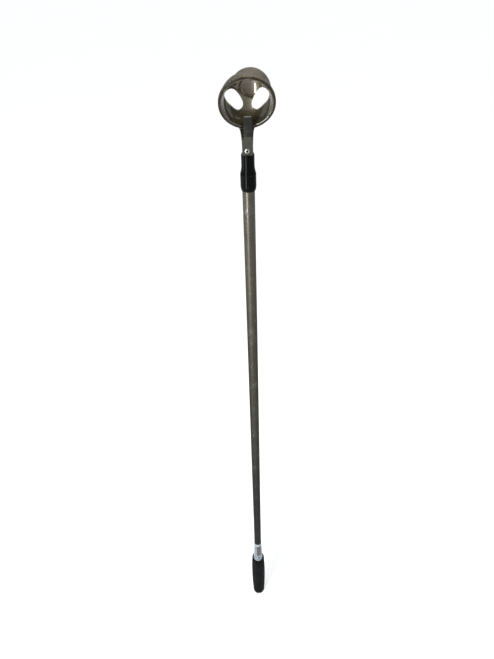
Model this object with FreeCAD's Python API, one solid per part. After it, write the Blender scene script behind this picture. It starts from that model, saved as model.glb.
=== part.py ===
import FreeCAD, Part
import math
import os

# Telescopic golf ball retriever, pushed together. Millimetres and degrees.
# The pole stands on +Z with the butt face at Z = 0, and the cup's mouth looks towards -Y.

Vector = FreeCAD.Vector
Rotation = FreeCAD.Rotation
AXIS_X = Vector(1, 0, 0)
AXIS_Y = Vector(0, 1, 0)
AXIS_Z = Vector(0, 0, 1)
ORIGIN = Vector(0, 0, 0)

# Grip and the tapered core inside it
GRIP_LENGTH = 143.5
GRIP_BUTT_RADIUS = 7.0
GRIP_HEEL_RADIUS = 11.2
GRIP_HEEL_Z = 8.0
GRIP_BELLY_RADIUS = 12.85
GRIP_BELLY_Z = 87.0
GRIP_MOUTH_RADIUS = 11.4
CORE_RADIUS = 8.5
CORE_START_Z = 6.0
CORE_END_Z = 202.5
CORE_TIP_RADIUS = 6.6
LABEL_FILM = 0.15
LABEL_START_Z = 145.0
LABEL_END_Z = 202.0

# Telescopic tubes, from the outermost inwards
TUBE_NAMES = ["outer", "second", "third", "inner"]
TUBE_RADII = [6.35, 5.2, 4.15, 3.1]
TUBE_WALL = 0.4
TUBE_TAILS = [10.0, 32.0, 56.0, 80.0]
MOUTH_Z = 910.0
GROOVE_Z = 880.3
GROOVE_DEPTH = 0.28
GROOVE_HALF_WIDTH = 1.1
TAIL_GROOVE_RISE = 8.0

# Plastic pieces that guide one tube in the next
BUSH_LENGTH = 60.0
BUSH_RUNNING_GAP = 0.1
PLUG_FLANGE = 4.0
PLUG_SHANK = 18.0
SLIDING_GAP = 0.3
SWIVEL_GAP = 0.2

# Black fittings that carry the head
COLLAR_RADIUS = 7.9
COLLAR_START_Z = 905.4
SOCKET_START_Z = 922.2
COLLAR_RECESS_TOP = 911.0
COLLAR_RECESS_GAP = 0.2
COLLAR_SEAM = 0.15
SOCKET_RADIUS = 6.5
SOCKET_FLARE_Z = 929.6
SOCKET_SHOULDER_Z = 939.4
SOCKET_TOP_Z = 942.6
SOCKET_TOP_RADIUS = 5.3
SOCKET_LEDGE_Z = 940.95
INNER_TUBE_TOP = 938.0
FIT_GAP = 0.02

# Cup of the head. Its own frame has +Y into the cup and +Z up the mouth.
MOUTH_TILT = 19.6
MOUTH_CENTRE = Vector(0.45, -2.9, 986.5)
RIM_RADIUS = 25.75
RIM_DEPTH = 3.2
RIM_FLAT = 25.4
RIM_OUTER_ROUND = 0.6
RIM_LIP_ROUND = 1.0
CUP_INNER_RADIUS = 22.65
CUP_WALL = 1.95
CUP_CENTRE_DEPTH = 2.4
POCKET_CENTRE = Vector(3.4, 12.8, 4.0)
POCKET_RADIUS = 18.9
POCKET_BLEND = 4.0
WINDOW_SHIFT = 1.15
LEFT_WINDOW = [(16.4, 8.5), (20.3, 6.1), (19.2, -0.5), (14.0, -7.1),
               (7.7, -10.6), (4.4, -8.2), (5.6, -0.9), (10.2, 5.7)]
RIGHT_WINDOW = [(16.2, 7.6), (19.6, 5.4), (18.7, -0.8), (13.8, -7.0),
                (7.7, -10.5), (4.5, -8.2), (5.8, -1.2), (10.2, 5.1)]

# Neck of the head
NECK_FRONT = -4.0
NECK_BACK = 4.0
NECK_HALF_WIDTH = 5.175
SPIGOT_RADIUS = 3.6
SPIGOT_TIP_Z = 924.0
CHANNEL_LEFT = -4.6
CHANNEL_RIGHT = 5.15
CHANNEL_FOOT_RIGHT = 4.75
CHANNEL_FOOT_TOP_Z = 957.2
CHANNEL_START_Z = 953.0
CHANNEL_FLOOR = -1.6

# Spring clip
CLIP_THICKNESS = 0.8
CLIP_PLATE_HALF_WIDTH = 5.15
CLIP_PLATE_START_Z = 941.05
CLIP_SHOULDER_Z = 953.1
CLIP_STEM_OFFSET = 0.2
CLIP_STEM_HALF_WIDTH = 4.15
FINGER_OFFSET = 0.85
FINGER_HALF_WIDTH = 4.0
FINGER_TIP_HALF_WIDTH = 3.2
FINGER_THICKNESS = 0.7
HINGE_Z = 958.2
HINGE_GAP = 0.3
FINGER_LEAN = 16.0
FINGER_LENGTH = 17.0
FINGER_TRAVEL = 33.0
LIP_LENGTH = 2.2
LIP_BEND = 45.0

# Blind rivet
RIVET_X = -0.6
RIVET_Z = 945.45
RIVET_HEAD_RADIUS = 2.65
RIVET_HEAD_HEIGHT = 1.2
RIVET_SHANK_RADIUS = 1.5
RIVET_BORE_RADIUS = 0.95
RIVET_TAIL_RADIUS = 2.3
RIVET_TAIL_LENGTH = 1.5

HINGE_Y = NECK_FRONT - CLIP_THICKNESS / 2


def point_yz(y, z):
    return Vector(0, y, z)


def lathe(profile, axis=AXIS_Z):
    """Solid of revolution of a closed polygon of (radius, height) points about an axis through the origin."""
    points = [AXIS_X * radius + axis * height for radius, height in profile]
    return lathe_wire(Part.makePolygon(points + points[:1]), axis)


def lathe_wire(wire, axis=AXIS_Z):
    return Part.Face(wire).revolve(ORIGIN, axis, 360)


def slab(outline, left, right):
    """Solid with the given (y, z) outline, from left to right along X."""
    points = [Vector(left, y, z) for y, z in outline]
    face = Part.Face(Part.makePolygon(points + points[:1]))
    return face.extrude(Vector(right - left, 0, 0))


def smooth_edge(points):
    """Smooth edge through a few points."""
    curve = Part.BSplineCurve()
    curve.interpolate(points)
    return curve.toShape()


def in_cup_frame(shape):
    """Moves a shape from the cup's own frame to its place on the pole."""
    moved = shape.copy()
    moved.Placement = FreeCAD.Placement(MOUTH_CENTRE, Rotation(AXIS_X, MOUTH_TILT)) * moved.Placement
    return moved


def bore_radius(index):
    return TUBE_RADII[index] - TUBE_WALL


# --- Handle -----------------------------------------------------------------

def grip_sleeve():
    """Rubber grip: round heel, swollen belly, flat mouth and a blind bore for the core."""
    heel = math.radians(45)
    heel_width = GRIP_HEEL_RADIUS - GRIP_BUTT_RADIUS
    heel_mid = Vector(GRIP_BUTT_RADIUS + heel_width * math.sin(heel), 0,
                      GRIP_HEEL_Z * (1 - math.cos(heel)))
    butt = Vector(GRIP_BUTT_RADIUS, 0, 0)
    heel_end = Vector(GRIP_HEEL_RADIUS, 0, GRIP_HEEL_Z)
    belly = smooth_edge([heel_end,
                         Vector(GRIP_BELLY_RADIUS - 0.35, 0, GRIP_BELLY_Z / 2),
                         Vector(GRIP_BELLY_RADIUS, 0, GRIP_BELLY_Z),
                         Vector(GRIP_BELLY_RADIUS - 0.5, 0, GRIP_LENGTH - 20),
                         Vector(GRIP_MOUTH_RADIUS, 0, GRIP_LENGTH)])
    inside = Part.makePolygon([Vector(GRIP_MOUTH_RADIUS, 0, GRIP_LENGTH),
                               Vector(CORE_RADIUS, 0, GRIP_LENGTH),
                               Vector(CORE_RADIUS, 0, CORE_START_Z),
                               Vector(0, 0, CORE_START_Z),
                               ORIGIN,
                               butt])
    edges = [Part.Arc(butt, heel_mid, heel_end).toShape(), belly] + inside.Edges
    return lathe_wire(Part.Wire(edges))


def grip_core():
    """Plastic core on the outer tube: straight inside the grip, tapered above it."""
    bore = TUBE_RADII[0] + FIT_GAP
    outer = CORE_RADIUS - FIT_GAP
    return lathe([(bore, CORE_START_Z + FIT_GAP), (outer, CORE_START_Z + FIT_GAP), (outer, GRIP_LENGTH),
                  (CORE_TIP_RADIUS, CORE_END_Z), (bore, CORE_END_Z)])


def label_wrap():
    """Printed film round the taper of the core."""
    slope = (CORE_TIP_RADIUS - CORE_RADIUS + FIT_GAP) / (CORE_END_Z - GRIP_LENGTH)
    low = CORE_RADIUS + slope * (LABEL_START_Z - GRIP_LENGTH)
    high = CORE_RADIUS + slope * (LABEL_END_Z - GRIP_LENGTH)
    return lathe([(low, LABEL_START_Z), (low + LABEL_FILM, LABEL_START_Z),
                  (high + LABEL_FILM, LABEL_END_Z), (high, LABEL_END_Z)])


def outer_end_plug():
    """Plug that closes the outer tube inside the grip."""
    top = TUBE_TAILS[0] + PLUG_SHANK - 4
    flange = TUBE_RADII[0]
    shank = bore_radius(0) - FIT_GAP
    low = CORE_START_Z + 2 * FIT_GAP
    seat = TUBE_TAILS[0] - FIT_GAP
    return lathe([(0, low), (flange, low), (flange, seat), (shank, seat), (shank, top), (0, top)])


# --- Telescopic tubes -------------------------------------------------------

def grooved_side(radius, heights):
    """Points up a tube's side that dip inwards at each rolled groove."""
    points = []
    for height in heights:
        points += [(radius, height - GROOVE_HALF_WIDTH),
                   (radius - GROOVE_DEPTH, height - GROOVE_HALF_WIDTH / 3),
                   (radius - GROOVE_DEPTH, height + GROOVE_HALF_WIDTH / 3),
                   (radius, height + GROOVE_HALF_WIDTH)]
    return points


def tube(index):
    """One thin tube, with a rolled groove at the mouth and another at the tail where it has one."""
    low = TUBE_TAILS[index]
    innermost = index == len(TUBE_NAMES) - 1
    high = INNER_TUBE_TOP if innermost else MOUTH_Z
    grooves = [] if index == 0 else [low + TAIL_GROOVE_RISE]
    if not innermost:
        grooves.append(GROOVE_Z)
    outside = [(TUBE_RADII[index], low)] + grooved_side(TUBE_RADII[index], grooves)
    outside.append((TUBE_RADII[index], high))
    inside = [(bore_radius(index), low)] + grooved_side(bore_radius(index), grooves)
    inside.append((bore_radius(index), high))
    return lathe(outside + inside[::-1])


def mouth_bush(index):
    """Guide bush locked in a tube's mouth by the rolled groove; the next tube slides through it."""
    inner = TUBE_RADII[index + 1] + BUSH_RUNNING_GAP
    outer = bore_radius(index) - FIT_GAP
    high = MOUTH_Z - 0.5
    low = high - BUSH_LENGTH
    side = [(outer, low)] + grooved_side(outer, [GROOVE_Z]) + [(outer, high)]
    return lathe([(inner, high), (inner, low)] + side)


def tail_plug(index):
    """Plug under a tube's tail: the flange slides in the tube outside, and the tube turns on the shank."""
    low = TUBE_TAILS[index] - PLUG_FLANGE
    seat = TUBE_TAILS[index] - FIT_GAP
    top = TUBE_TAILS[index] + PLUG_SHANK
    groove = TUBE_TAILS[index] + TAIL_GROOVE_RISE
    flange = bore_radius(index - 1) - SLIDING_GAP
    shank = bore_radius(index) - SWIVEL_GAP
    neck = shank - GROOVE_DEPTH
    half = GROOVE_HALF_WIDTH + SWIVEL_GAP
    return lathe([(0, low), (flange, low), (flange, seat), (shank, seat),
                  (shank, groove - half), (neck, groove - half),
                  (neck, groove + half), (shank, groove + half),
                  (shank, top), (0, top)])


# --- Fittings under the head ------------------------------------------------

def rounded(solid, radius, wanted):
    """Rounds the edges of a solid that the test picks out."""
    edges = [edge for edge in solid.Edges if wanted(edge.BoundBox)]
    return solid.makeFillet(radius, edges)


def tube_collar():
    """Collar on the inner tube that caps the mouths of the other tubes, drawn in at its foot."""
    bore = TUBE_RADII[3] + FIT_GAP
    recess = TUBE_RADII[0] + COLLAR_RECESS_GAP
    top = SOCKET_START_Z - COLLAR_SEAM
    foot = Vector(COLLAR_RADIUS - 0.8, 0, COLLAR_START_Z)
    foot_mid = Vector(COLLAR_RADIUS - 0.22, 0, COLLAR_START_Z + 2.2)
    foot_end = Vector(COLLAR_RADIUS, 0, COLLAR_START_Z + 5.5)
    rest = Part.makePolygon([foot_end,
                             Vector(COLLAR_RADIUS, 0, top - 0.2),
                             Vector(COLLAR_RADIUS - 0.2, 0, top),
                             Vector(bore, 0, top),
                             Vector(bore, 0, COLLAR_RECESS_TOP),
                             Vector(recess, 0, COLLAR_RECESS_TOP),
                             Vector(recess, 0, COLLAR_START_Z),
                             foot])
    return lathe_wire(Part.Wire([Part.Arc(foot, foot_mid, foot_end).toShape()] + rest.Edges))


def head_socket():
    """Socket that joins the head to the inner tube, flared at the foot and flat behind the clip."""
    bore = TUBE_RADII[3] + FIT_GAP
    wide_bore = SPIGOT_RADIUS + FIT_GAP
    foot = SOCKET_START_Z
    flare_start = Vector(COLLAR_RADIUS - 0.1, 0, foot + 0.3)
    flare_mid = Vector(SOCKET_RADIUS + 0.45, 0, foot + 4.0)
    flare_end = Vector(SOCKET_RADIUS, 0, SOCKET_FLARE_Z)
    shoulder = Vector(SOCKET_RADIUS, 0, SOCKET_SHOULDER_Z)
    shoulder_mid = Vector(SOCKET_RADIUS - 0.3, 0, (SOCKET_SHOULDER_Z + SOCKET_TOP_Z) / 2 + 0.4)
    shoulder_end = Vector(SOCKET_TOP_RADIUS, 0, SOCKET_TOP_Z)
    side = [Part.Arc(flare_start, flare_mid, flare_end).toShape(),
            Part.makeLine(flare_end, shoulder),
            Part.Arc(shoulder, shoulder_mid, shoulder_end).toShape()]
    corners = [shoulder_end,
               Vector(wide_bore, 0, SOCKET_TOP_Z),
               Vector(wide_bore, 0, INNER_TUBE_TOP),
               Vector(bore, 0, INNER_TUBE_TOP),
               Vector(bore, 0, foot),
               Vector(COLLAR_RADIUS - 0.3, 0, foot),
               flare_start]
    body = lathe_wire(Part.Wire(side + Part.makePolygon(corners).Edges))
    height = SOCKET_TOP_Z - SOCKET_LEDGE_Z + 1
    flat = Part.makeBox(20, 10, height, Vector(-10, NECK_FRONT - 10, SOCKET_LEDGE_Z))
    return body.cut(flat)


# --- Head casting -----------------------------------------------------------

def cup_skin(offset):
    """The cup's solid outer form, or its cavity when the offset is minus the wall."""
    dome = Part.makeSphere(CUP_INNER_RADIUS + CUP_WALL + offset)
    dome.translate(Vector(0, CUP_CENTRE_DEPTH, 0))
    pocket = Part.makeSphere(POCKET_RADIUS + offset)
    pocket.translate(POCKET_CENTRE)
    both = dome.fuse(pocket)
    seams = [edge for edge in both.Edges if len(both.ancestorsOfType(edge, Part.Face)) == 2]
    seams = [edge for edge in seams if not edge.isSeam(both.ancestorsOfType(edge, Part.Face)[0])]
    return both.makeFillet(POCKET_BLEND, seams)


def half_space(limit):
    """Everything in front of a depth in the cup's frame."""
    return Part.makeBox(120, 60, 120, Vector(-60, limit - 60, -60))


def rim():
    """Ring round the mouth with a small flat on its top."""
    section = [(CUP_INNER_RADIUS, 0), (RIM_RADIUS, 0), (RIM_RADIUS, RIM_DEPTH), (CUP_INNER_RADIUS, RIM_DEPTH)]
    band = lathe(section, AXIS_Y)
    band = rounded(band, RIM_OUTER_ROUND, lambda box: box.XMax > RIM_RADIUS - 0.01)
    band = rounded(band, RIM_LIP_ROUND, lambda box: box.XMax < CUP_INNER_RADIUS + 0.01 and box.YMax < 0.01)
    return band.cut(Part.makeBox(40, 20, 5, Vector(-20, -10, RIM_FLAT)))


def window(side):
    """Egg-shaped cutter for one window, straight through the cup along Y."""
    corners = LEFT_WINDOW if side < 0 else RIGHT_WINDOW
    outline = Part.BSplineCurve()
    points = [Vector(WINDOW_SHIFT + side * x, 0, MOUTH_CENTRE.z + z) for x, z in corners]
    outline.interpolate(points, PeriodicFlag=True)
    return Part.Face(Part.Wire(outline.toShape())).extrude(Vector(0, 60, 0))


def neck_side(sign):
    """One side of the neck's front view, from the straight tang out to the rim."""
    flare = [(0.0, 950.5), (0.3, 956.0), (0.75, 959.5), (1.8, 962.6), (3.9, 964.4), (6.3, 965.6)]
    return smooth_edge([Vector(sign * (NECK_HALF_WIDTH + spread), 0, height) for spread, height in flare])


def ends(edge):
    return edge.Vertexes[0].Point, edge.Vertexes[-1].Point


def neck_front_outline():
    """Front view of the neck: straight tang that spreads to meet the rim."""
    right = neck_side(1)
    left = neck_side(-1)
    right_start, right_end = ends(right)
    left_start, left_end = ends(left)
    foot = Part.makePolygon([left_start,
                             Vector(-NECK_HALF_WIDTH, 0, SOCKET_TOP_Z),
                             Vector(NECK_HALF_WIDTH, 0, SOCKET_TOP_Z),
                             right_start])
    return Part.Wire(Part.__sortEdges__([right, Part.makeLine(right_end, left_end), left] + foot.Edges))


def neck_side_outline():
    """Side view of the neck: upright tang, then set back to carry the cup from below."""
    back = smooth_edge([point_yz(NECK_BACK, 949.0), point_yz(5.0, 953.5), point_yz(8.4, 959.0),
                        point_yz(14.0, 964.5)])
    back_start, back_end = ends(back)
    rest = Part.makePolygon([back_end, point_yz(14.0, 966.3), point_yz(7.0, 965.6), point_yz(5.9, 962.7),
                             point_yz(NECK_FRONT, 955.2), point_yz(NECK_FRONT, SOCKET_TOP_Z),
                             point_yz(NECK_BACK, SOCKET_TOP_Z), back_start])
    return Part.Wire(Part.__sortEdges__([back] + rest.Edges))


def neck():
    """Neck between the spigot and the cup: the meeting of its front and side outlines."""
    front = Part.Face(neck_front_outline()).extrude(Vector(0, 60, 0))
    front.translate(Vector(0, -30, 0))
    side = Part.Face(neck_side_outline()).extrude(Vector(40, 0, 0))
    side.translate(Vector(-20, 0, 0))
    body = front.common(side)
    spigot_foot = Vector(0, 0, INNER_TUBE_TOP)
    spigot = Part.makeCylinder(SPIGOT_RADIUS, SOCKET_TOP_Z - INNER_TUBE_TOP, spigot_foot)
    tip_foot = Vector(0, 0, SPIGOT_TIP_Z)
    tip = Part.makeCylinder(bore_radius(3) - FIT_GAP, INNER_TUBE_TOP - SPIGOT_TIP_Z, tip_foot)
    return body.fuse([spigot, tip])


def finger_channel():
    """Groove in the neck and the rim that the finger folds back into."""
    lean = math.radians(FINGER_LEAN + FINGER_TRAVEL)
    along = point_yz(math.sin(lean), math.cos(lean))
    below = point_yz(math.cos(lean), -math.sin(lean))
    start = point_yz(HINGE_Y, HINGE_Z) + below * (FINGER_THICKNESS / 2 + 0.55)
    corner_z = start.z + (CHANNEL_FLOOR - start.y) * along.z / along.y
    end = start + along * (FINGER_LENGTH + LIP_LENGTH + 1.0)
    back = end - below * 6
    front = -20
    foot = slab([(front, CHANNEL_START_Z), (CHANNEL_FLOOR, CHANNEL_START_Z),
                 (CHANNEL_FLOOR, CHANNEL_FOOT_TOP_Z), (front, CHANNEL_FOOT_TOP_Z)],
                CHANNEL_LEFT, CHANNEL_FOOT_RIGHT)
    path = slab([(front, CHANNEL_FOOT_TOP_Z), (CHANNEL_FLOOR, CHANNEL_FOOT_TOP_Z),
                 (CHANNEL_FLOOR, corner_z), (end.y, end.z), (back.y, back.z), (front, back.z)],
                CHANNEL_LEFT, CHANNEL_RIGHT)
    return foot.fuse(path)


def head_cup():
    """Casting: cup with its rim, pocket and windows, and the neck with its spigot."""
    cavity = in_cup_frame(cup_skin(-CUP_WALL))
    mouth = in_cup_frame(Part.makeCylinder(CUP_INNER_RADIUS, 20 + CUP_CENTRE_DEPTH, Vector(0, -20, 0), AXIS_Y))
    shell = in_cup_frame(cup_skin(0).cut(half_space(0.5)).fuse(rim()))
    body = shell.fuse(neck()).cut(cavity.fuse(mouth))
    for side in (-1, 1):
        body = body.cut(window(side))
    body = body.cut(finger_channel())
    return body.cut(rivet_hole(RIVET_SHANK_RADIUS + FIT_GAP))


# --- Clip and rivet ---------------------------------------------------------

def rivet_hole(radius):
    return Part.makeCylinder(radius, 40, Vector(RIVET_X, -20, RIVET_Z), AXIS_Y)


def clip_base():
    """Fixed end of the leaf spring, riveted to the neck."""
    front = NECK_FRONT - CLIP_THICKNESS
    overlap = 1
    plate = Part.makeBox(2 * CLIP_PLATE_HALF_WIDTH, CLIP_THICKNESS, CLIP_SHOULDER_Z - CLIP_PLATE_START_Z,
                         Vector(-CLIP_PLATE_HALF_WIDTH, front, CLIP_PLATE_START_Z))
    plate = plate.makeFillet(0.8, [edge for edge in plate.Edges if edge.BoundBox.YLength > 0.1
                                   and edge.BoundBox.XLength < 0.1 and edge.BoundBox.ZLength < 0.1])
    stem_top = HINGE_Z - FINGER_THICKNESS / 2 - HINGE_GAP
    stem_foot = Vector(CLIP_STEM_OFFSET - CLIP_STEM_HALF_WIDTH, front, CLIP_SHOULDER_Z - overlap)
    stem = Part.makeBox(2 * CLIP_STEM_HALF_WIDTH, CLIP_THICKNESS, stem_top - stem_foot.z, stem_foot)
    return plate.fuse(stem).removeSplitter().cut(rivet_hole(RIVET_SHANK_RADIUS + FIT_GAP))


def clip_finger():
    """Free end of the leaf spring: a leaning blade with a bent lip, turning about the bend line."""
    lean = math.radians(FINGER_LEAN)
    bend = math.radians(FINGER_LEAN + LIP_BEND)
    half = FINGER_THICKNESS / 2
    hinge = point_yz(HINGE_Y, HINGE_Z)
    along = point_yz(math.sin(lean), math.cos(lean))
    across = point_yz(math.cos(lean), -math.sin(lean))
    lip_along = point_yz(math.sin(bend), math.cos(bend))
    lip_across = point_yz(math.cos(bend), -math.sin(bend))
    knee = hinge + along * FINGER_LENGTH
    tip = knee + lip_along * LIP_LENGTH
    middle = math.radians(FINGER_LEAN + LIP_BEND / 2)
    mitre = point_yz(math.cos(middle), -math.sin(middle)) * (half / math.cos(math.radians(LIP_BEND / 2)))
    outline = [hinge - across * half, knee - mitre, tip - lip_across * half,
               tip + lip_across * half, knee + mitre, hinge + across * half]
    blade = slab([(corner.y, corner.z) for corner in outline],
                 FINGER_OFFSET - FINGER_HALF_WIDTH, FINGER_OFFSET + FINGER_HALF_WIDTH)
    knuckle = Part.makeCylinder(half, 2 * FINGER_HALF_WIDTH,
                                Vector(FINGER_OFFSET - FINGER_HALF_WIDTH, HINGE_Y, HINGE_Z), AXIS_X)
    blade = blade.fuse(knuckle).removeSplitter()
    return blade.common(finger_front_outline())


def finger_front_outline():
    """Front view of the finger: parallel sides with a narrower lip."""
    shoulder = HINGE_Z + FINGER_LENGTH * math.cos(math.radians(FINGER_LEAN)) - 0.6
    corners = []
    for side in (1, -1):
        half = [(FINGER_HALF_WIDTH, HINGE_Z - 2), (FINGER_HALF_WIDTH, shoulder - 0.7),
                (FINGER_TIP_HALF_WIDTH, shoulder), (FINGER_TIP_HALF_WIDTH, shoulder + 8)]
        corners += [Vector(FINGER_OFFSET + side * x, -20, z) for x, z in half[::side]]
    return Part.Face(Part.makePolygon(corners + corners[:1])).extrude(Vector(0, 40, 0))


def clip_rivet():
    """Blind rivet: domed head, hollow shank and the swollen tail behind the neck."""
    head_seat = NECK_FRONT - CLIP_THICKNESS
    tail_seat = NECK_BACK
    top = Vector(RIVET_BORE_RADIUS, head_seat - RIVET_HEAD_HEIGHT, 0)
    edge = Vector(RIVET_HEAD_RADIUS, head_seat, 0)
    middle = Vector(RIVET_HEAD_RADIUS * 0.8, head_seat - RIVET_HEAD_HEIGHT * 0.62, 0)
    rest = Part.makePolygon([edge,
                             Vector(RIVET_SHANK_RADIUS, head_seat, 0),
                             Vector(RIVET_SHANK_RADIUS, tail_seat, 0),
                             Vector(RIVET_TAIL_RADIUS, tail_seat, 0),
                             Vector(RIVET_TAIL_RADIUS, tail_seat + RIVET_TAIL_LENGTH * 0.6, 0),
                             Vector(RIVET_SHANK_RADIUS, tail_seat + RIVET_TAIL_LENGTH, 0),
                             Vector(RIVET_BORE_RADIUS, tail_seat + RIVET_TAIL_LENGTH, 0),
                             top])
    body = lathe_wire(Part.Wire([Part.Arc(top, middle, edge).toShape()] + rest.Edges), AXIS_Y)
    body.translate(Vector(RIVET_X, 0, RIVET_Z))
    return body


def rivet_mandrel():
    """Broken-off pin left inside the rivet."""
    front = NECK_FRONT - CLIP_THICKNESS - 0.3
    length = NECK_BACK + RIVET_TAIL_LENGTH + 0.3 - front
    return Part.makeCylinder(RIVET_BORE_RADIUS - FIT_GAP, length, Vector(RIVET_X, front, RIVET_Z), AXIS_Y)


def all_parts():
    parts = {"grip_sleeve": grip_sleeve(),
             "grip_core": grip_core(),
             "label_wrap": label_wrap(),
             "outer_end_plug": outer_end_plug(),
             "tube_collar": tube_collar(),
             "head_socket": head_socket(),
             "head_cup": head_cup(),
             "clip_base": clip_base(),
             "clip_finger": clip_finger(),
             "clip_rivet": clip_rivet(),
             "rivet_mandrel": rivet_mandrel()}
    for index, name in enumerate(TUBE_NAMES):
        parts[name + "_tube"] = tube(index)
        if index + 1 < len(TUBE_NAMES):
            parts[name + "_mouth_bush"] = mouth_bush(index)
        if index > 0:
            parts[name + "_tail_plug"] = tail_plug(index)
    return parts


os.makedirs("parts", exist_ok=True)
for name, shape in all_parts().items():
    box = shape.BoundBox
    print(name, "valid", shape.isValid(), "solids", len(shape.Solids), "volume", round(shape.Volume, 1),
          "z", round(box.ZMin, 2), round(box.ZMax, 2), "y", round(box.YMin, 2), round(box.YMax, 2))
    shape.exportStep("parts/" + name + ".step")
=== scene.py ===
import math

import bpy
from mathutils import Matrix, Vector


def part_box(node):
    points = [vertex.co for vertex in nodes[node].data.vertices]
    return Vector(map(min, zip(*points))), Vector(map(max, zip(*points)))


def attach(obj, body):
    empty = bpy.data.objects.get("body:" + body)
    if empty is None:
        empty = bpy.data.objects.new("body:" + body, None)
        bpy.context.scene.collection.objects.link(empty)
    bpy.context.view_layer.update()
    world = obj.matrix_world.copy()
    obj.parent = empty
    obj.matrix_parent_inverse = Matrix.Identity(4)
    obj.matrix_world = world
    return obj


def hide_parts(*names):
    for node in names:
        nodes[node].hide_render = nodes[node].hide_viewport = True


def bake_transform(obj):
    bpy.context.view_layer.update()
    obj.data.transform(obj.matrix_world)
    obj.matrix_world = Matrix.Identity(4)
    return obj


# Looks of a telescopic golf ball retriever, pushed together. Metres, with the pole on +Z.

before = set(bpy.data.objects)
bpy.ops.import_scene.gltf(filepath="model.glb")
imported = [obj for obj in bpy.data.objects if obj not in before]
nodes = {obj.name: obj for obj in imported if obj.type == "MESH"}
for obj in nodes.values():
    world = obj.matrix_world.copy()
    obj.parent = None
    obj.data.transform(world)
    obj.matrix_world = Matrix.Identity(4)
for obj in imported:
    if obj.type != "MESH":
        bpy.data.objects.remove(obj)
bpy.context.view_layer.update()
MM = 0.001

# Sizes shared with the CAD source, in millimetres
TUBE_NAMES = ["outer", "second", "third", "inner"]
TUBE_BODIES = ["handle", "second_section", "third_section", "head_section"]
TUBE_WALL = 0.4
TUBE_SIDES = 96
GROOVE_Z = 880.3
GROOVE_DEPTH = 0.28
GROOVE_HALF_WIDTH = 1.1
TAIL_GROOVE_RISE = 8.0
MOUTH_CENTRE = Vector((0.45, -2.9, 986.5))
MOUTH_TILT = 19.6
DOME_CENTRE = Vector((0.0, 2.4, 0.0))
HINGE = Vector((0.0, -4.4, 958.2))
RIVET_X = -0.6
RIVET_Z = 945.45
PANEL_LOW_Z = 163.0
PANEL_HIGH_Z = 195.5
TICKS_LOW_Z = 153.0
TICKS_HIGH_Z = 196.0
TICK_PITCH = 5.6
LONG_TICK_PITCH = 16.8
LABEL_TURN = 47.0
PLATE_START_Z = 941.05
PLATE_SHOULDER_Z = 953.1
FINGER_LEAN = 16.0
FINGER_LENGTH = 17.0
LIP_BEND = 45.0
LIP_LENGTH = 2.2


# --- Node trees -------------------------------------------------------------

class Tree:
    """Short calls for adding nodes to one shader or geometry tree."""

    def __init__(self, tree):
        self.tree = tree

    def feed(self, socket, value):
        if isinstance(value, bpy.types.NodeSocket):
            self.tree.links.new(value, socket)
        else:
            socket.default_value = value

    def add(self, kind, inputs=None, **settings):
        node = self.tree.nodes.new(kind)
        for name, value in settings.items():
            setattr(node, name, value)
        for name, value in (inputs or {}).items():
            self.feed(node.inputs[name], value)
        return node

    def math(self, operation, first, second=0.0, third=0.0):
        node = self.add("ShaderNodeMath", operation=operation)
        for socket, value in zip(node.inputs, (first, second, third)):
            self.feed(socket, value)
        return node.outputs[0]

    def span(self, value, low, high, out_low=0.0, out_high=1.0):
        """Takes value from low..high to out_low..out_high, and stops at the ends."""
        node = self.add("ShaderNodeMapRange", interpolation_type="SMOOTHSTEP")
        for name, given in (("Value", value), ("From Min", low), ("From Max", high),
                            ("To Min", out_low), ("To Max", out_high)):
            self.feed(node.inputs[name], given)
        return node.outputs["Result"]

    def between(self, value, low, high, soft):
        """1 while value lies between low and high, with soft ends."""
        return self.math("MULTIPLY", self.span(value, low - soft, low + soft),
                         self.span(value, high - soft, high + soft, 1.0, 0.0))

    def colour(self, amount, low, high):
        """Colour that goes from low to high with amount."""
        node = self.add("ShaderNodeMix", data_type="RGBA")
        self.feed(node.inputs["Factor"], amount)
        self.feed(node.inputs[6], low)
        self.feed(node.inputs[7], high)
        return node.outputs[2]

    def noise(self, where, scale, detail=2.0, roughness=0.5):
        node = self.add("ShaderNodeTexNoise",
                        {"Vector": where, "Scale": scale, "Detail": detail, "Roughness": roughness})
        return node.outputs["Fac"]

    def stretched(self, where, factors, turn=(0.0, 0.0, 0.0)):
        node = self.add("ShaderNodeMapping", {"Vector": where, "Scale": factors, "Rotation": turn})
        return node.outputs["Vector"]

    def where(self):
        return self.add("ShaderNodeTexCoord").outputs["Object"]

    def group(self, tree, **inputs):
        node = self.add("ShaderNodeGroup", node_tree=tree)
        for name, value in inputs.items():
            self.feed(node.inputs[name.replace("_", " ")], value)
        return node.outputs


def shader_group(name, inputs, outputs):
    """Empty shader group with named number inputs and outputs. Returns its Tree and its two ends."""
    tree = bpy.data.node_groups.new(name, "ShaderNodeTree")
    for label, value in inputs:
        socket = tree.interface.new_socket(label, in_out="INPUT", socket_type="NodeSocketFloat")
        socket.default_value = value
    for label in outputs:
        tree.interface.new_socket(label, in_out="OUTPUT", socket_type="NodeSocketFloat")
    work = Tree(tree)
    return work, work.add("NodeGroupInput").outputs, work.add("NodeGroupOutput").inputs


def pole_place_group():
    """Where a point is on the pole: turn about it (0 to 1, 0.5 at the front) and height in millimetres."""
    work, _, out = shader_group("pole_place", [], ["Around", "Height"])
    axes = work.add("ShaderNodeSeparateXYZ", {"Vector": work.where()}).outputs
    turn = work.math("ARCTAN2", axes["X"], work.math("MULTIPLY", axes["Y"], -1.0))
    work.feed(out["Around"], work.math("MULTIPLY_ADD", turn, 0.5 / math.pi, 0.5))
    work.feed(out["Height"], work.math("MULTIPLY", axes["Z"], 1000.0))
    return work.tree


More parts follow.
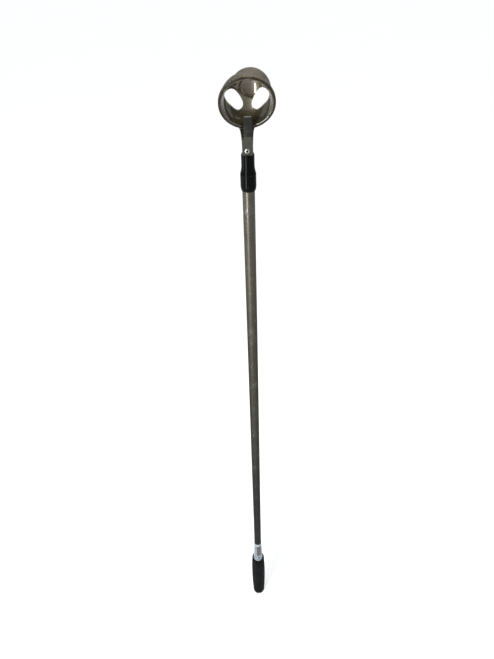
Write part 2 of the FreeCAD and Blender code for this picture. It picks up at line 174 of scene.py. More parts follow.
def drawn_lines_group():
    """Fine lines that drawing and polishing leave along the pole."""
    work, given, out = shader_group("drawn_lines", [("Density", 900.0), ("Length", 30.0)], ["Lines", "Bands"])
    where = work.where()
    factor = work.math("DIVIDE", 1.0, given["Length"])
    squeeze = work.add("ShaderNodeCombineXYZ", {"X": 1.0, "Y": 1.0, "Z": factor}).outputs["Vector"]
    along = work.stretched(where, squeeze)
    work.feed(out["Lines"], work.noise(along, given["Density"], 3.0, 0.6))
    work.feed(out["Bands"], work.noise(along, work.math("MULTIPLY", given["Density"], 0.12), 1.0))
    return work.tree


def fine_grain_group():
    """Even grain of a cast, moulded or blasted skin."""
    work, given, out = shader_group("fine_grain", [("Scale", 2500.0)], ["Grain", "Mottle"])
    where = work.where()
    pits = work.add("ShaderNodeTexVoronoi", {"Vector": where, "Scale": given["Scale"]}).outputs["Distance"]
    cloud = work.noise(where, work.math("MULTIPLY", given["Scale"], 0.6), 3.0, 0.65)
    work.feed(out["Grain"], work.math("MULTIPLY_ADD", pits, 0.5, work.math("MULTIPLY", cloud, 0.5)))
    work.feed(out["Mottle"], work.noise(where, work.math("MULTIPLY", given["Scale"], 0.2), 3.0, 0.55))
    return work.tree


def handling_group():
    """Marks of use: thin crossing scratches, and soft smudges from hands and storage."""
    work, given, out = shader_group("handling", [("Scratch Density", 60.0), ("Smudge Scale", 25.0)],
                                    ["Scratches", "Smudges"])
    where = work.where()
    marks = None
    for turn, shift in ((0.5, 1.0), (-0.7, 1.6)):
        along = work.stretched(where, (1.0, 1.0, 0.06), (turn, 0.3 * turn, 0.0))
        wave = work.noise(along, work.math("MULTIPLY", given["Scratch Density"], shift * 10.0), 1.0)
        thin = work.span(work.math("ABSOLUTE", work.math("SUBTRACT", wave, 0.5)), 0.0, 0.012, 1.0, 0.0)
        spread = work.math("MULTIPLY", given["Scratch Density"], shift)
        patch = work.span(work.noise(where, spread, 1.0), 0.54, 0.66)
        mark = work.math("MULTIPLY", thin, patch)
        marks = mark if marks is None else work.math("MAXIMUM", marks, mark)
    work.feed(out["Scratches"], marks)
    work.feed(out["Smudges"], work.span(work.noise(where, given["Smudge Scale"], 3.0, 0.6), 0.35, 0.7))
    return work.tree


def edge_wear_group():
    """Mask along outside edges, where the finish rubs off unevenly."""
    work, given, out = shader_group("edge_wear", [("Radius", 0.0004), ("Break Up", 400.0)], ["Mask"])
    soft = work.add("ShaderNodeBevel", {"Radius": given["Radius"]}, samples=6).outputs["Normal"]
    hard = work.add("ShaderNodeNewGeometry").outputs["Normal"]
    same = work.add("ShaderNodeVectorMath", operation="DOT_PRODUCT")
    work.feed(same.inputs[0], soft)
    work.feed(same.inputs[1], hard)
    edge = work.span(same.outputs["Value"], 0.998, 0.93)
    rubbed = work.span(work.noise(work.where(), given["Break Up"], 3.0, 0.6), 0.38, 0.6)
    work.feed(out["Mask"], work.math("MULTIPLY", edge, rubbed))
    return work.tree


POLE_PLACE = pole_place_group()
DRAWN_LINES = drawn_lines_group()
FINE_GRAIN = fine_grain_group()
HANDLING = handling_group()
EDGE_WEAR = edge_wear_group()


# --- Finishes ---------------------------------------------------------------

def new_finish(name, **constants):
    """Material with its Principled shader; constants are set on the shader's own sockets."""
    material = bpy.data.materials.new(name)
    material.use_nodes = True
    work = Tree(material.node_tree)
    shader = material.node_tree.nodes["Principled BSDF"]
    for label, value in constants.items():
        shader.inputs[label.replace("_", " ")].default_value = value
    return material, work, shader.inputs


def raise_surface(work, shader, height, depth):
    """Bump of the given depth in metres."""
    bump = work.add("ShaderNodeBump", {"Height": height, "Distance": depth, "Strength": 1.0})
    work.feed(shader["Normal"], bump.outputs["Normal"])


def grip_rubber():
    material, work, shader = new_finish("grip_rubber", Specular_IOR_Level=0.008, Metallic=0.0)
    grain = work.group(FINE_GRAIN, Scale=2200.0)
    marks = work.group(HANDLING, Scratch_Density=45.0, Smudge_Scale=30.0)
    place = work.group(POLE_PLACE)
    folded = work.math("PINGPONG", place["Around"], 0.5)
    seam_turn = work.math("ABSOLUTE", work.math("SUBTRACT", folded, 0.25))
    seam = work.span(seam_turn, 0.0015, 0.004, 1.0, 0.0)
    rubber = work.colour(marks["Smudges"], (0.0034, 0.0034, 0.0036, 1), (0.0064, 0.0060, 0.0056, 1))
    rubber = work.colour(work.math("MULTIPLY", marks["Scratches"], 0.25), rubber, (0.05, 0.048, 0.045, 1))
    work.feed(shader["Base Color"], rubber)
    work.feed(shader["Roughness"], work.span(grain["Mottle"], 0.3, 0.7, 0.46, 0.62))
    height = work.math("MULTIPLY_ADD", seam, 0.9, work.math("MULTIPLY", grain["Grain"], 0.45))
    raise_surface(work, shader, height, 0.00012)
    return material


def core_plastic():
    material, work, shader = new_finish("core_plastic", Specular_IOR_Level=0.4)
    grain = work.group(FINE_GRAIN, Scale=1500.0)
    tone = work.colour(grain["Mottle"], (0.30, 0.31, 0.32, 1), (0.45, 0.46, 0.47, 1))
    work.feed(shader["Base Color"], tone)
    work.feed(shader["Roughness"], work.span(grain["Mottle"], 0.3, 0.7, 0.35, 0.5))
    raise_surface(work, shader, grain["Grain"], 0.00003)
    return material


def label_film():
    """Glossy printed film: pale strip with a scale of ticks, warm grey panel and a pale foot with one dot."""
    material, work, shader = new_finish("label_film", Specular_IOR_Level=0.2, Coat_Roughness=0.12)
    place = work.group(POLE_PLACE)
    around, height = place["Around"], place["Height"]
    marks = work.group(HANDLING, Scratch_Density=70.0, Smudge_Scale=60.0)
    turns = work.math("PINGPONG", work.math("SUBTRACT", around, 0.02), 0.5)
    panel = work.math("MULTIPLY", work.between(around, 0.452, 0.66, 0.004),
                      work.between(height, PANEL_LOW_Z, PANEL_HIGH_Z, 0.3))
    step = work.math("FRACT", work.math("DIVIDE", height, TICK_PITCH))
    ticks = work.math("MULTIPLY", work.between(step, 0.2, 0.68, 0.03),
                      work.between(height, TICKS_LOW_Z, TICKS_HIGH_Z, 0.2))
    long_step = work.math("FRACT", work.math("DIVIDE", height, LONG_TICK_PITCH))
    reach = work.math("MULTIPLY_ADD", work.between(long_step, 0.0, 0.33, 0.01), -0.03, 0.362)
    ticks = work.math("MULTIPLY", ticks, work.math("MULTIPLY", work.math("GREATER_THAN", around, reach),
                                                   work.math("LESS_THAN", around, 0.438)))
    unrolled = work.add("ShaderNodeCombineXYZ", {"X": work.math("MULTIPLY", around, LABEL_TURN),
                                                 "Y": work.math("MULTIPLY", height, 0.6)}).outputs["Vector"]
    spot = work.add("ShaderNodeVectorMath", {0: unrolled, 1: (25.1, 93.6, 0.0)}, operation="DISTANCE")
    dot = work.span(spot.outputs["Value"], 1.7, 2.0, 1.0, 0.0)
    paper = work.colour(marks["Smudges"], (0.135, 0.157, 0.192, 1), (0.225, 0.253, 0.286, 1))
    film = work.colour(panel, paper, (0.026, 0.022, 0.018, 1))
    film = work.colour(work.math("MULTIPLY", ticks, 0.9), film, (0.030, 0.030, 0.035, 1))
    film = work.colour(work.math("MULTIPLY", dot, 0.95), film, (0.025, 0.025, 0.028, 1))
    film = work.colour(work.math("MULTIPLY", marks["Scratches"], 0.35), film, (0.75, 0.75, 0.74, 1))
    seam = work.span(turns, 0.003, 0.006, 1.0, 0.0)
    work.feed(shader["Base Color"], work.colour(work.math("MULTIPLY", seam, 0.4), film, (0.2, 0.2, 0.2, 1)))
    work.feed(shader["Roughness"], work.span(marks["Smudges"], 0.0, 1.0, 0.22, 0.38))
    work.feed(shader["Coat Weight"], work.span(marks["Smudges"], 0.0, 1.0, 0.15, 0.05))
    raise_surface(work, shader, work.math("MULTIPLY_ADD", seam, 0.6, marks["Scratches"]), 0.00004)
    return material


def tube_steel():
    """Satin tube: drawn lines, painted shade that darkens and cools it down the pole, rubbed rings and a worn
    patch of print.
    """
    material, work, shader = new_finish("tube_steel", Metallic=1.0, Coat_Roughness=0.16,
                                        Specular_Tint=(0.45, 0.45, 0.45, 1.0))
    place = work.group(POLE_PLACE)
    lines = work.group(DRAWN_LINES, Density=1400.0, Length=45.0)
    marks = work.group(HANDLING, Scratch_Density=50.0, Smudge_Scale=18.0)
    height = place["Height"]
    # Painted shade: the colour gets darker and cooler down the pole, standing in for light falling off away
    # from the head.
    warm = work.span(height, 250.0, 940.0)
    steel = work.colour(warm, (0.026, 0.027, 0.027, 1), (0.064, 0.054, 0.037, 1))
    steel = work.colour(work.math("MULTIPLY", lines["Bands"], 0.35), steel, (0.055, 0.052, 0.046, 1))
    steel = work.colour(work.math("MULTIPLY", marks["Smudges"], 0.25), steel, (0.050, 0.050, 0.048, 1))
    steel = work.colour(work.math("MULTIPLY", marks["Scratches"], 0.45), steel, (0.34, 0.34, 0.33, 1))
    patch = work.math("MULTIPLY", work.between(height, 844.0, 862.0, 2.0),
                      work.between(place["Around"], 0.40, 0.66, 0.01))
    rows = work.between(work.math("FRACT", work.math("DIVIDE", height, 3.6)), 0.25, 0.7, 0.08)
    worn = work.span(work.noise(work.where(), 900.0, 2.0), 0.47, 0.56)
    print_mask = work.math("MULTIPLY", work.math("MULTIPLY", patch, rows), worn)
    printed = work.colour(work.math("MULTIPLY", print_mask, 0.6), steel, (0.02, 0.02, 0.02, 1))
    work.feed(shader["Base Color"], printed)
    work.feed(shader["Coat Weight"], work.span(height, 700.0, 900.0, 0.0, 0.4))
    rough = work.math("MULTIPLY_ADD", lines["Lines"], 0.12, work.span(marks["Smudges"], 0.0, 1.0, 0.25, 0.33))
    work.feed(shader["Roughness"], work.math("MULTIPLY_ADD", print_mask, 0.2, rough))
    relief = work.math("ADD", lines["Lines"], work.math("MULTIPLY", marks["Scratches"], -0.6))
    raise_surface(work, shader, relief, 0.000012)
    return material


def bush_plastic():
    material, work, shader = new_finish("bush_plastic", Specular_IOR_Level=0.45)
    grain = work.group(FINE_GRAIN, Scale=1800.0)
    tone = work.colour(grain["Mottle"], (0.62, 0.60, 0.53, 1), (0.74, 0.72, 0.66, 1))
    work.feed(shader["Base Color"], tone)
    work.feed(shader["Roughness"], work.span(grain["Mottle"], 0.3, 0.7, 0.32, 0.48))
    raise_surface(work, shader, grain["Grain"], 0.00003)
    return material


def plug_plastic():
    material, work, shader = new_finish("plug_plastic", Specular_IOR_Level=0.4)
    grain = work.group(FINE_GRAIN, Scale=1700.0)
    tone = work.colour(grain["Mottle"], (0.018, 0.018, 0.019, 1), (0.035, 0.035, 0.036, 1))
    work.feed(shader["Base Color"], tone)
    work.feed(shader["Roughness"], work.span(grain["Mottle"], 0.3, 0.7, 0.38, 0.52))
    raise_surface(work, shader, grain["Grain"], 0.00003)
    return material


def fitting_plastic():
    """Glossy black moulding with rubbed edges."""
    material, work, shader = new_finish("fitting_plastic", Specular_IOR_Level=0.03, Coat_Roughness=0.1)
    grain = work.group(FINE_GRAIN, Scale=900.0)
    marks = work.group(HANDLING, Scratch_Density=80.0, Smudge_Scale=60.0)
    wear = work.group(EDGE_WEAR, Radius=0.0003, Break_Up=500.0)
    black = work.colour(marks["Smudges"], (0.0007, 0.0009, 0.0010, 1), (0.0015, 0.0018, 0.0018, 1))
    black = work.colour(work.math("MULTIPLY", marks["Scratches"], 0.3), black, (0.07, 0.07, 0.07, 1))
    rubbed = work.colour(work.math("MULTIPLY", wear["Mask"], 0.35), black, (0.10, 0.095, 0.085, 1))
    work.feed(shader["Base Color"], rubbed)
    work.feed(shader["Roughness"], work.span(marks["Smudges"], 0.0, 1.0, 0.16, 0.28))
    work.feed(shader["Coat Weight"], work.span(marks["Smudges"], 0.0, 1.0, 0.04, 0.0))
    relief = work.math("MULTIPLY_ADD", grain["Mottle"], 0.8, work.math("MULTIPLY", grain["Grain"], 0.2))
    raise_surface(work, shader, relief, 0.00002)
    return material


def in_cup_frame(place):
    """A point of the cup's own frame, in metres on the pole."""
    return (MOUTH_CENTRE + Matrix.Rotation(math.radians(MOUTH_TILT), 3, "X") @ place) * MM


def head_metal():
    """Cast cup: grained taupe skin outside, smoother olive brown inside, rim face painted dark as shade, worn
    edges and painted shadow in the channel behind the blade."""
    material, work, shader = new_finish("head_metal", Coat_Roughness=0.06, Coat_IOR=1.7)
    where = work.where()
    grain = work.group(FINE_GRAIN, Scale=2600.0)
    marks = work.group(HANDLING, Scratch_Density=90.0, Smudge_Scale=55.0)
    wear = work.group(EDGE_WEAR, Radius=0.0005, Break_Up=350.0)
    outwards = work.add("ShaderNodeVectorMath", {0: where, 1: in_cup_frame(DOME_CENTRE)},
                        operation="SUBTRACT")
    facing = work.add("ShaderNodeVectorMath", operation="DOT_PRODUCT")
    work.feed(facing.inputs[0], outwards.outputs["Vector"])
    work.feed(facing.inputs[1], work.add("ShaderNodeNewGeometry").outputs["Normal"])
    inner = work.span(facing.outputs["Value"], -0.0008, 0.0008, 1.0, 0.0)
    mouth_axis = Matrix.Rotation(math.radians(MOUTH_TILT), 3, "X") @ Vector((0.0, 1.0, 0.0))
    from_mouth = work.add("ShaderNodeVectorMath", {0: where, 1: in_cup_frame(Vector())}, operation="SUBTRACT")
    depth = work.add("ShaderNodeVectorMath", {0: from_mouth.outputs["Vector"], 1: mouth_axis},
                     operation="DOT_PRODUCT")
    axes = work.add("ShaderNodeSeparateXYZ", {"Vector": where}).outputs
    # Painted shade: the rim's front face is darkened to stand in for the dark reflection it shows.
    face = work.math("MULTIPLY", work.span(depth.outputs["Value"], 0.0001, 0.0005, 1.0, 0.0),
                     work.span(axes["Z"], 0.9600, 0.9625))
    skin = work.colour(work.span(grain["Mottle"], 0.36, 0.64),
                       (0.075, 0.061, 0.043, 1), (0.160, 0.134, 0.098, 1))
    hollow = work.colour(marks["Smudges"], (0.058, 0.044, 0.024, 1), (0.082, 0.064, 0.036, 1))
    metal = work.colour(inner, skin, hollow)
    metal = work.colour(work.math("MULTIPLY", face, 0.9), metal, (0.015, 0.012, 0.008, 1))
    # Painted shadow: the channel behind the blade is darkened where shade falls between the blade and the
    # neck walls.
    painted_channel_shadow = work.math("MULTIPLY", work.between(axes["X"], -0.0052, 0.0053, 0.0002),
                          work.between(axes["Y"], -0.0032, 0.0075, 0.0005))
    painted_channel_shadow = work.math("MULTIPLY", painted_channel_shadow, work.between(axes["Z"], 0.9535, 0.9690, 0.0008))
    metal = work.colour(work.math("MULTIPLY", painted_channel_shadow, 0.8), metal, (0.010, 0.009, 0.007, 1))
    metal = work.colour(work.math("MULTIPLY", marks["Scratches"], 0.3), metal, (0.42, 0.39, 0.33, 1))
    rubbed = work.colour(work.math("MULTIPLY", wear["Mask"], 0.35), metal, (0.50, 0.42, 0.29, 1))
    work.feed(shader["Base Color"], rubbed)
    rough_skin = work.span(grain["Mottle"], 0.3, 0.7, 0.42, 0.54)
    rough_hollow = work.span(marks["Smudges"], 0.0, 1.0, 0.42, 0.52)
    rough = work.math("MULTIPLY_ADD", inner, work.math("SUBTRACT", rough_hollow, rough_skin), rough_skin)
    work.feed(shader["Roughness"], rough)
    work.feed(shader["Metallic"], work.span(inner, 0.0, 1.0, 1.0, 0.8))
    work.feed(shader["Coat Weight"], work.math("MULTIPLY", inner, 0.75))
    relief = work.math("MULTIPLY", grain["Grain"], work.span(inner, 0.0, 1.0, 1.0, 0.02))
    raise_surface(work, shader, relief, 0.00010)
    return material


def spring_steel():
    """Blued grey strip, with painted shade darkening it above the bend, a painted highlight on the lip, and
    bright where edges rub.
    """
    material, work, shader = new_finish("spring_steel", Metallic=1.0)
    place = work.group(POLE_PLACE)
    lines = work.group(DRAWN_LINES, Density=1700.0, Length=18.0)
    marks = work.group(HANDLING, Scratch_Density=90.0, Smudge_Scale=90.0)
    wear = work.group(EDGE_WEAR, Radius=0.0002, Break_Up=700.0)
    # Painted shade: the strip is darker above the bend, where it tilts away from the light.
    blade = work.span(place["Height"], HINGE.z - 0.4, HINGE.z + 0.4)
    lip = work.span(place["Height"], HINGE.z + FINGER_LENGTH - 0.9, HINGE.z + FINGER_LENGTH - 0.3)
    steel = work.colour(blade, (0.052, 0.049, 0.041, 1), (0.019, 0.019, 0.017, 1))
    steel = work.colour(work.math("MULTIPLY", lines["Bands"], 0.3), steel, (0.070, 0.067, 0.058, 1))
    steel = work.colour(work.math("MULTIPLY", marks["Scratches"], 0.4), steel, (0.45, 0.44, 0.40, 1))
    # Painted highlight: the bent lip at the blade's tip is lighter, where it catches the light.
    steel = work.colour(work.math("MULTIPLY", lip, 0.8), steel, (0.26, 0.235, 0.19, 1))
    rubbed = work.colour(work.math("MULTIPLY", wear["Mask"], 0.55), steel, (0.30, 0.29, 0.26, 1))
    work.feed(shader["Base Color"], rubbed)
    work.feed(shader["Roughness"], work.math("MULTIPLY_ADD", lines["Lines"], 0.2, 0.30))
    raise_surface(work, shader, lines["Lines"], 0.000015)
    return material


def rivet_metal():
    material, work, shader = new_finish("rivet_metal", Metallic=1.0)
    grain = work.group(FINE_GRAIN, Scale=3000.0)
    marks = work.group(HANDLING, Scratch_Density=150.0, Smudge_Scale=200.0)
    bright = work.colour(marks["Smudges"], (0.30, 0.29, 0.26, 1), (0.44, 0.42, 0.38, 1))
    bright = work.colour(work.math("MULTIPLY", marks["Scratches"], 0.5), bright, (0.3, 0.29, 0.27, 1))
    axes = work.add("ShaderNodeSeparateXYZ", {"Vector": work.where()}).outputs
    from_axis = work.add("ShaderNodeCombineXYZ", {"X": work.math("SUBTRACT", axes["X"], RIVET_X * MM),
                                                  "Z": work.math("SUBTRACT", axes["Z"], RIVET_Z * MM)})
    away = work.add("ShaderNodeVectorMath", {0: from_axis.outputs["Vector"]}, operation="LENGTH")
    # Painted shade: the rivet's bore around the mandrel is darkened where shade falls in the hollow.
    painted_hollow_shade = work.span(away.outputs["Value"], 0.00105, 0.0013, 0.92, 0.0)
    work.feed(shader["Base Color"], work.colour(painted_hollow_shade, bright, (0.012, 0.011, 0.010, 1)))
    work.feed(shader["Roughness"], work.span(grain["Mottle"], 0.3, 0.7, 0.22, 0.36))
    raise_surface(work, shader, grain["Mottle"], 0.00002)
    return material


def mandrel_steel():
    material, work, shader = new_finish("mandrel_steel", Metallic=1.0)
    grain = work.group(FINE_GRAIN, Scale=3500.0)
    # Painted shade: the mandrel is coloured near black, standing in for the shade inside the rivet's hollow.
    tone = work.colour(grain["Mottle"], (0.008, 0.007, 0.006, 1), (0.020, 0.017, 0.015, 1))
    work.feed(shader["Base Color"], tone)
    work.feed(shader["Roughness"], work.span(grain["Mottle"], 0.3, 0.7, 0.45, 0.65))
    raise_surface(work, shader, grain["Grain"], 0.00012)
    return material


def put_on(piece, material):
    """Gives every face of a piece one finish."""
    piece.data.materials.clear()
    piece.data.materials.append(material)
    for face in piece.data.polygons:
        face.material_index = 0


# --- Turned tubes -----------------------------------------------------------

def turned_tree():
    """Turns a closed outline of points, X out from the axis and Z along it, into a round wall."""
    tree = bpy.data.node_groups.new("turned_wall", "GeometryNodeTree")
    for label, kind in (("Outline", "NodeSocketGeometry"), ("Sides", "NodeSocketInt"),
                        ("Smooth Angle", "NodeSocketFloat"), ("Finish", "NodeSocketMaterial")):
        tree.interface.new_socket(label, in_out="INPUT", socket_type=kind)
    tree.interface.new_socket("Wall", in_out="OUTPUT", socket_type="NodeSocketGeometry")
    work = Tree(tree)
    given = work.add("NodeGroupInput").outputs
    counted = work.add("GeometryNodeAttributeDomainSize", {"Geometry": given["Outline"]})
    points = counted.outputs["Point Count"]
    rows = work.math("ADD", points, 1.0)
    grid = work.add("GeometryNodeMeshGrid", {"Size X": 1.0, "Size Y": 1.0,
                                             "Vertices X": work.math("ADD", given["Sides"], 1.0),
                                             "Vertices Y": rows}).outputs["Mesh"]
    index = work.add("GeometryNodeInputIndex").outputs["Index"]
    column = work.math("FLOOR", work.math("DIVIDE", work.math("ADD", index, 0.5), rows))
    row = work.math("SUBTRACT", index, work.math("MULTIPLY", column, rows))
    turn = work.math("MULTIPLY", work.math("DIVIDE", column, given["Sides"]), 2 * math.pi)
    position = work.add("GeometryNodeInputPosition").outputs["Position"]
    sample = work.add("GeometryNodeSampleIndex", data_type="FLOAT_VECTOR", domain="POINT")
    work.feed(sample.inputs["Geometry"], given["Outline"])
    work.feed(sample.inputs["Value"], position)
    work.feed(sample.inputs["Index"], work.math("MODULO", work.math("ADD", row, 0.1), points))
    axes = work.add("ShaderNodeSeparateXYZ", {"Vector": sample.outputs["Value"]}).outputs
    place = work.add("ShaderNodeCombineXYZ",
                     {"X": work.math("MULTIPLY", axes["X"], work.math("COSINE", turn)),
                      "Y": work.math("MULTIPLY", axes["X"], work.math("SINE", turn)),
                      "Z": axes["Z"]}).outputs["Vector"]
    wall = work.add("GeometryNodeSetPosition", {"Geometry": grid, "Position": place}).outputs["Geometry"]
    wall = work.add("GeometryNodeMergeByDistance", {"Geometry": wall, "Distance": 1e-7}).outputs["Geometry"]
    corner = work.add("GeometryNodeInputMeshEdgeAngle").outputs["Unsigned Angle"]
    soft = work.math("LESS_THAN", corner, given["Smooth Angle"])
    wall = work.add("GeometryNodeSetShadeSmooth", {"Geometry": wall, "Shade Smooth": soft}, domain="EDGE")
    wall = wall.outputs[0]
    wall = work.add("GeometryNodeRealizeInstances", {"Geometry": wall}).outputs["Geometry"]
    coated = work.add("GeometryNodeSetMaterial", {"Geometry": wall, "Material": given["Finish"]})
    work.feed(work.add("NodeGroupOutput").inputs["Wall"], coated.outputs["Geometry"])
    return tree


def set_inputs(modifier, **values):
    """Sets a modifier's named inputs by their sockets' identifiers."""
    for item in modifier.node_group.interface.items_tree:
        if item.in_out == "INPUT" and item.name.replace(" ", "_") in values:
            modifier[item.identifier] = values[item.name.replace(" ", "_")]


def settled(piece):
    """Turns a piece with live modifiers into a plain mesh."""
    bpy.context.view_layer.update()
    result = bpy.data.meshes.new_from_object(piece.evaluated_get(bpy.context.evaluated_depsgraph_get()))
    piece.modifiers.clear()
    piece.data = result
    return piece


def new_piece(name, points, edges=(), faces=()):
    mesh = bpy.data.meshes.new(name)
    mesh.from_pydata([tuple(point) for point in points], list(edges), list(faces))
    mesh.update()
    piece = bpy.data.objects.new(name, mesh)
    bpy.context.collection.objects.link(piece)
    return piece


def grooved_side(radius, heights):
    """Points up a tube's side, dipping softly inwards at each rolled groove."""
    points = []
    steps = 12
    for height in heights:
        for step in range(steps + 1):
            share = step / steps * 2 - 1
            dip = GROOVE_DEPTH * (0.5 + 0.5 * math.cos(math.pi * share))
            points.append((radius - dip, height + share * GROOVE_HALF_WIDTH))
    return points


def smooth_tube(tree, index, finish):
    """Round thin-walled tube with its rolled grooves and eased lips."""
    name = TUBE_NAMES[index] + "_tube"
    low_corner, high_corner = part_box(name)
    low, high = low_corner.z / MM, high_corner.z / MM
    radius = (high_corner.x - low_corner.x) / 2 / MM
    bore = radius - TUBE_WALL
    grooves = [low + TAIL_GROOVE_RISE] if index > 0 else []
    if index < len(TUBE_NAMES) - 1:
        grooves.append(GROOVE_Z)
    ease = 0.1
    outside = [(radius - ease, low), (radius, low + ease)]
    for height in grooves:
        outside += grooved_side(radius, [height])
    outside += [(radius, high - ease), (radius - ease, high)]
    inside = [(bore, high)] + grooved_side(bore, grooves)[::-1] + [(bore, low)]
    outline = [Vector((x, 0.0, z)) * MM for x, z in outside + inside]
    edges = [(i, (i + 1) % len(outline)) for i in range(len(outline))]
    piece = new_piece("smooth_" + name, outline, edges)
    modifier = piece.modifiers.new("turned", "NODES")
    modifier.node_group = tree
    set_inputs(modifier, Sides=TUBE_SIDES, Smooth_Angle=0.6, Finish=finish)
    settled(piece)
    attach(piece, TUBE_BODIES[index])
    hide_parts(name)
    return piece


# --- Spring strip -----------------------------------------------------------

def spring_strip(finish):
    """One strip of spring steel: riveted plate, narrower stem, bent blade and lip."""
    lean, bend = math.radians(FINGER_LEAN), math.radians(LIP_BEND)
    foot, shoulder = PLATE_START_Z, PLATE_SHOULDER_Z
    stations = [(HINGE.y, foot, -4.35, 4.35, 0.8), (HINGE.y, foot + 0.25, -4.9, 4.9, 0.8),
                (HINGE.y, foot + 0.8, -5.15, 5.15, 0.8), (HINGE.y, shoulder - 0.3, -5.15, 5.15, 0.8),
                (HINGE.y, shoulder, -4.9, 5.0, 0.8), (HINGE.y, shoulder + 0.2, -3.95, 4.35, 0.8),
                (HINGE.y, HINGE.z - 2.4, -3.95, 4.35, 0.8), (HINGE.y, HINGE.z - 1.5, -3.6, 4.6, 0.78),
                (HINGE.y, HINGE.z - 0.9, -3.2, 4.8, 0.75)]
    for share in (0.0, 0.25, 0.5, 0.75, 1.0):
        stations.append((HINGE.y + 0.8 * math.sin(lean * share) * math.tan(lean / 2),
                         HINGE.z - 0.5 + share, -3.15, 4.85, 0.72))
    along = Vector((0.0, math.sin(lean), math.cos(lean)))
    for reach in (2.0, 5.0, 9.0, FINGER_LENGTH - 4.0, FINGER_LENGTH - 1.9):
        place = HINGE + along * reach
        stations.append((place.y, place.z, -3.15, 4.85, 0.7))
    knee = HINGE + along * FINGER_LENGTH
    for back_off, spread in ((1.2, 0.3), (0.7, 0.0)):
        place = knee - along * back_off
        stations.append((place.y, place.z, -2.35 - spread, 4.05 + spread, 0.7))
    for share in (0.2, 0.4, 0.6, 0.8, 1.0):
        turn = lean + bend * share
        place = knee + Vector((0.0, math.sin(turn), math.cos(turn))) * (LIP_LENGTH * share)
        stations.append((place.y, place.z, -2.35, 4.05, 0.68 - 0.18 * share))
    points, faces = [], []
    for i, (y, z, left, right, thick) in enumerate(stations):
        before, after = stations[max(i - 1, 0)], stations[min(i + 1, len(stations) - 1)]
        tangent = Vector((0.0, after[0] - before[0], after[1] - before[1])).normalized()
        back = Vector((0.0, tangent.z, -tangent.y)) * (thick / 2)
        centre = Vector((0.0, y, z))
        for side, offset in ((left, -back), (right, -back), (right, back), (left, back)):
            points.append((centre + offset + Vector((side, 0.0, 0.0))) * MM)
        if i:
            base = 4 * i
            faces += [(base - 4 + k, base - 4 + (k + 1) % 4, base + (k + 1) % 4, base + k) for k in range(4)]
    last = len(points) - 4
    faces += [(3, 2, 1, 0), (last, last + 1, last + 2, last + 3)]
    piece = new_piece("spring_strip", points, faces=faces)
    put_on(piece, finish)
    for face in piece.data.polygons:
        face.use_smooth = True
    ease = piece.modifiers.new("eased_edges", "BEVEL")
    ease.width = 0.00014
    ease.segments = 2
    ease.angle_limit = math.radians(40)
    ease.harden_normals = True
    settled(piece)
    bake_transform(piece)
    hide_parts("clip_base", "clip_finger")
    return piece


# --- Studio -----------------------------------------------------------------

def camera():
    """Camera a little in front of the head and above it, looking down the pole."""
    data = bpy.data.cameras.new("camera")
    data.sensor_width = 36.0
    data.lens = 27.31
    data.clip_start = 0.01
    made = bpy.data.objects.new("camera", data)
    made.location = (-0.0083, -0.4700, 1.1160)
    made.rotation_euler = [math.radians(angle) for angle in (50.239, 1.5254, -1.5001)]
    bpy.context.collection.objects.link(made)
    bpy.context.scene.camera = made


def softbox(name, place, aim, size, power, tint=(1.0, 1.0, 1.0)):
    data = bpy.data.lights.new(name, "AREA")
    data.shape = "RECTANGLE"
    data.size, data.size_y = size
    data.energy = power
    data.color = tint
    made = bpy.data.objects.new(name, data)
    made.location = place
    made.rotation_euler = (Vector(aim) - Vector(place)).to_track_quat("-Z", "Y").to_euler()
    made.visible_camera = False
    bpy.context.collection.objects.link(made)


def even_light(strength, spread):
    """Wide soft light from above and behind, the same all over the floor."""
    data = bpy.data.lights.new("even", "SUN")
    data.energy = strength
    data.angle = math.radians(spread)
    made = bpy.data.objects.new("even", data)
    made.rotation_euler = (math.radians(-25.0), math.radians(8.0), 0.0)
    bpy.context.collection.objects.link(made)


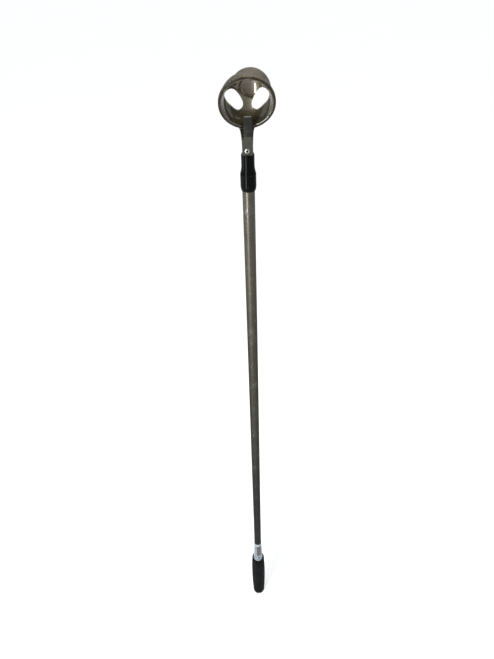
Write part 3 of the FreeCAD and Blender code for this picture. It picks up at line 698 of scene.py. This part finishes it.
def floor():
    half = 60.0
    corners = [(-half, -half, 0.0), (half, -half, 0.0), (half, half, 0.0), (-half, half, 0.0)]
    made = new_piece("floor", corners, faces=[(0, 1, 2, 3)])
    material, work, shader = new_finish("pale_floor", Roughness=0.9, Specular_IOR_Level=0.0,
                                        Emission_Color=(1.0, 1.0, 1.0, 1), Emission_Strength=0.08)
    shade = work.noise(work.where(), 2.0)
    work.feed(shader["Base Color"], work.colour(shade, (0.87, 0.87, 0.87, 1), (0.89, 0.89, 0.89, 1)))
    put_on(made, material)


def studio():
    scene = bpy.context.scene
    scene.view_settings.view_transform = "Standard"
    world = bpy.data.worlds.new("studio")
    world.use_nodes = True
    world.node_tree.nodes["Background"].inputs["Color"].default_value = (0.95, 0.97, 1.0, 1)
    world.node_tree.nodes["Background"].inputs["Strength"].default_value = 0.76
    scene.world = world
    even_light(1.05, 70.0)
    softbox("strip", (-0.80, -1.20, 1.05), (0.0, 0.0, 0.9), (0.24, 1.9), 44.0, (0.90, 1.0, 1.0))
    softbox("warm", (-1.6, -0.3, 0.5), (0.0, 0.0, 0.95), (0.5, 0.5), 5.0, (1.0, 0.78, 0.52))


# --- The object -------------------------------------------------------------

FINISHES = {"grip_sleeve": grip_rubber(), "grip_core": core_plastic(), "label_wrap": label_film(),
            "head_cup": head_metal(), "clip_rivet": rivet_metal(), "rivet_mandrel": mandrel_steel()}
PLUG, BUSH, FITTING = plug_plastic(), bush_plastic(), fitting_plastic()
STEEL, SPRING = tube_steel(), spring_steel()
for node in ("outer_end_plug", "second_tail_plug", "third_tail_plug", "inner_tail_plug"):
    FINISHES[node] = PLUG
for node in ("outer_mouth_bush", "second_mouth_bush", "third_mouth_bush"):
    FINISHES[node] = BUSH
for node in ("tube_collar", "head_socket"):
    FINISHES[node] = FITTING
for node in ("outer_tube", "second_tube", "third_tube", "inner_tube"):
    FINISHES[node] = STEEL
for node in ("clip_base", "clip_finger"):
    FINISHES[node] = SPRING

camera()
studio()
floor()
for node, material in FINISHES.items():
    put_on(nodes[node], material)

TURNED = turned_tree()
for number in range(len(TUBE_NAMES)):
    smooth_tube(TURNED, number, STEEL)
spring_strip(SPRING)
